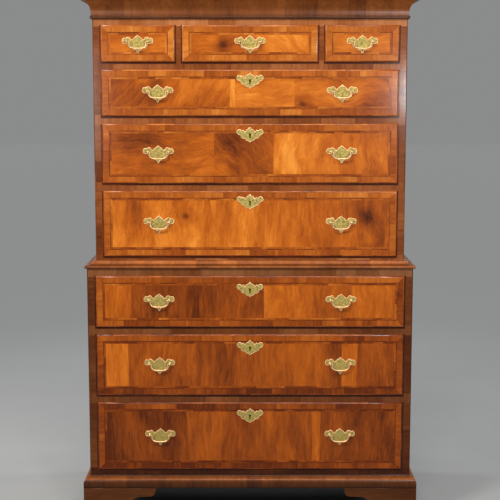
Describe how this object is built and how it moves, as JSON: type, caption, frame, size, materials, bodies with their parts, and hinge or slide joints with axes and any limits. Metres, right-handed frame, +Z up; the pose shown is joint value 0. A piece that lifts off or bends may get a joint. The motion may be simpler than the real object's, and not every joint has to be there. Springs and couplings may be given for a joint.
{
  "type": "chest-on-chest",
  "caption": "Walnut chest-on-chest: an upper chest of short and long drawers on a wider chest of long drawers, with bracket feet, a cavetto cornice and brass bail handles.",
  "frame": {"origin": "on the floor, under the middle of the whole piece", "axes": "+Z up, -Y to the front, +X to the right as seen from the front"},
  "size_m": [1.085, 0.565, 1.6723],
  "materials": {
    "walnut_veneer": "figured walnut veneer, crossbanded and feather banded, French polished",
    "walnut_case": "straight-grained walnut and crossbanded facings, polished",
    "walnut_moulding": "cross-grained walnut mouldings, dark polish",
    "oak_lining": "dry planed oak",
    "pine_boards": "rough sawn pine, unfinished",
    "brass": "worn polished brass"
  },
  "bodies": {
    "lower_chest": {"lower_carcase": "walnut_case", "lower_back_boards": "pine_boards", "waist_moulding": "walnut_moulding", "base_moulding": "walnut_moulding", "front_left_foot": "walnut_case", "front_right_foot": "walnut_case", "rear_left_foot": "walnut_case", "rear_right_foot": "walnut_case"},
    "upper_chest": {"upper_carcase": "walnut_case", "upper_back_boards": "pine_boards", "cornice": "walnut_moulding"},
    "lower_third_drawer": {"lower_third_drawer_front": "walnut_veneer", "lower_third_drawer_lining": "oak_lining", "lower_third_left_handle_plate": "brass", "lower_third_right_handle_plate": "brass"},
    "lower_third_left_bail": {"lower_third_left_bail": "brass"},
    "lower_third_right_bail": {"lower_third_right_bail": "brass"},
    "lower_second_drawer": {"lower_second_drawer_front": "walnut_veneer", "lower_second_drawer_lining": "oak_lining", "lower_second_left_handle_plate": "brass", "lower_second_right_handle_plate": "brass"},
    "lower_second_left_bail": {"lower_second_left_bail": "brass"},
    "lower_second_right_bail": {"lower_second_right_bail": "brass"},
    "lower_first_drawer": {"lower_first_drawer_front": "walnut_veneer", "lower_first_drawer_lining": "oak_lining", "lower_first_left_handle_plate": "brass", "lower_first_right_handle_plate": "brass"},
    "lower_first_left_bail": {"lower_first_left_bail": "brass"},
    "lower_first_right_bail": {"lower_first_right_bail": "brass"},
    "upper_third_drawer": {"upper_third_drawer_front": "walnut_veneer", "upper_third_drawer_lining": "oak_lining", "upper_third_left_handle_plate": "brass", "upper_third_right_handle_plate": "brass"},
    "upper_third_left_bail": {"upper_third_left_bail": "brass"},
    "upper_third_right_bail": {"upper_third_right_bail": "brass"},
    "upper_second_drawer": {"upper_second_drawer_front": "walnut_veneer", "upper_second_drawer_lining": "oak_lining", "upper_second_left_handle_plate": "brass", "upper_second_right_handle_plate": "brass"},
    "upper_second_left_bail": {"upper_second_left_bail": "brass"},
    "upper_second_right_bail": {"upper_second_right_bail": "brass"},
    "upper_first_drawer": {"upper_first_drawer_front": "walnut_veneer", "upper_first_drawer_lining": "oak_lining", "upper_first_left_handle_plate": "brass", "upper_first_right_handle_plate": "brass"},
    "upper_first_left_bail": {"upper_first_left_bail": "brass"},
    "upper_first_right_bail": {"upper_first_right_bail": "brass"},
    "short_left_drawer": {"short_left_drawer_front": "walnut_veneer", "short_left_drawer_lining": "oak_lining", "short_left_handle_plate": "brass"},
    "short_left_bail": {"short_left_bail": "brass"},
    "short_middle_drawer": {"short_middle_drawer_front": "walnut_veneer", "short_middle_drawer_lining": "oak_lining", "short_middle_handle_plate": "brass"},
    "short_middle_bail": {"short_middle_bail": "brass"},
    "short_right_drawer": {"short_right_drawer_front": "walnut_veneer", "short_right_drawer_lining": "oak_lining", "short_right_handle_plate": "brass"},
    "short_right_bail": {"short_right_bail": "brass"}
  },
  "joints": [
    {"name": "upper_chest_lift", "type": "slide", "parent": "lower_chest", "child": "upper_chest", "axis": [0, 0, 1], "range_m": [0, 0.05]},
    {"name": "lower_third_slide", "type": "slide", "parent": "lower_chest", "child": "lower_third_drawer", "axis": [0, -1, 0], "range_m": [0, 0.4]},
    {"name": "lower_third_left_bail_swing", "type": "hinge", "parent": "lower_third_drawer", "child": "lower_third_left_bail", "pos_m": [-0.283, -0.2652, 0.2932], "axis": [-1, 0, 0], "range_deg": [-8, 100]},
    {"name": "lower_third_right_bail_swing", "type": "hinge", "parent": "lower_third_drawer", "child": "lower_third_right_bail", "pos_m": [0.283, -0.2652, 0.2932], "axis": [-1, 0, 0], "range_deg": [-8, 100]},
    {"name": "lower_second_slide", "type": "slide", "parent": "lower_chest", "child": "lower_second_drawer", "axis": [0, -1, 0], "range_m": [0, 0.4]},
    {"name": "lower_second_left_bail_swing", "type": "hinge", "parent": "lower_second_drawer", "child": "lower_second_left_bail", "pos_m": [-0.283, -0.2652, 0.5225], "axis": [-1, 0, 0], "range_deg": [-8, 100]},
    {"name": "lower_second_right_bail_swing", "type": "hinge", "parent": "lower_second_drawer", "child": "lower_second_right_bail", "pos_m": [0.283, -0.2652, 0.5225], "axis": [-1, 0, 0], "range_deg": [-8, 100]},
    {"name": "lower_first_slide", "type": "slide", "parent": "lower_chest", "child": "lower_first_drawer", "axis": [0, -1, 0], "range_m": [0, 0.4]},
    {"name": "lower_first_left_bail_swing", "type": "hinge", "parent": "lower_first_drawer", "child": "lower_first_left_bail", "pos_m": [-0.283, -0.2652, 0.72365], "axis": [-1, 0, 0], "range_deg": [-8, 100]},
    {"name": "lower_first_right_bail_swing", "type": "hinge", "parent": "lower_first_drawer", "child": "lower_first_right_bail", "pos_m": [0.283, -0.2652, 0.72365], "axis": [-1, 0, 0], "range_deg": [-8, 100]},
    {"name": "upper_third_slide", "type": "slide", "parent": "upper_chest", "child": "upper_third_drawer", "axis": [0, -1, 0], "range_m": [0, 0.38]},
    {"name": "upper_third_left_bail_swing", "type": "hinge", "parent": "upper_third_drawer", "child": "upper_third_left_bail", "pos_m": [-0.283, -0.2392, 0.9648], "axis": [-1, 0, 0], "range_deg": [-8, 100]},
    {"name": "upper_third_right_bail_swing", "type": "hinge", "parent": "upper_third_drawer", "child": "upper_third_right_bail", "pos_m": [0.283, -0.2392, 0.9648], "axis": [-1, 0, 0], "range_deg": [-8, 100]},
    {"name": "upper_second_slide", "type": "slide", "parent": "upper_chest", "child": "upper_second_drawer", "axis": [0, -1, 0], "range_m": [0, 0.38]},
    {"name": "upper_second_left_bail_swing", "type": "hinge", "parent": "upper_second_drawer", "child": "upper_second_left_bail", "pos_m": [-0.283, -0.2392, 1.1822], "axis": [-1, 0, 0], "range_deg": [-8, 100]},
    {"name": "upper_second_right_bail_swing", "type": "hinge", "parent": "upper_second_drawer", "child": "upper_second_right_bail", "pos_m": [0.283, -0.2392, 1.1822], "axis": [-1, 0, 0], "range_deg": [-8, 100]},
    {"name": "upper_first_slide", "type": "slide", "parent": "upper_chest", "child": "upper_first_drawer", "axis": [0, -1, 0], "range_m": [0, 0.38]},
    {"name": "upper_first_left_bail_swing", "type": "hinge", "parent": "upper_first_drawer", "child": "upper_first_left_bail", "pos_m": [-0.283, -0.2392, 1.3682], "axis": [-1, 0, 0], "range_deg": [-8, 100]},
    {"name": "upper_first_right_bail_swing", "type": "hinge", "parent": "upper_first_drawer", "child": "upper_first_right_bail", "pos_m": [0.283, -0.2392, 1.3682], "axis": [-1, 0, 0], "range_deg": [-8, 100]},
    {"name": "short_left_slide", "type": "slide", "parent": "upper_chest", "child": "short_left_drawer", "axis": [0, -1, 0], "range_m": [0, 0.38]},
    {"name": "short_left_bail_swing", "type": "hinge", "parent": "short_left_drawer", "child": "short_left_bail", "pos_m": [-0.34275, -0.2392, 1.5177], "axis": [-1, 0, 0], "range_deg": [-8, 100]},
    {"name": "short_middle_slide", "type": "slide", "parent": "upper_chest", "child": "short_middle_drawer", "axis": [0, -1, 0], "range_m": [0, 0.38]},
    {"name": "short_middle_bail_swing", "type": "hinge", "parent": "short_middle_drawer", "child": "short_middle_bail", "pos_m": [0, -0.2392, 1.5177], "axis": [-1, 0, 0], "range_deg": [-8, 100]},
    {"name": "short_right_slide", "type": "slide", "parent": "upper_chest", "child": "short_right_drawer", "axis": [0, -1, 0], "range_m": [0, 0.38]},
    {"name": "short_right_bail_swing", "type": "hinge", "parent": "short_right_drawer", "child": "short_right_bail", "pos_m": [0.34275, -0.2392, 1.5177], "axis": [-1, 0, 0], "range_deg": [-8, 100]}
  ]
}
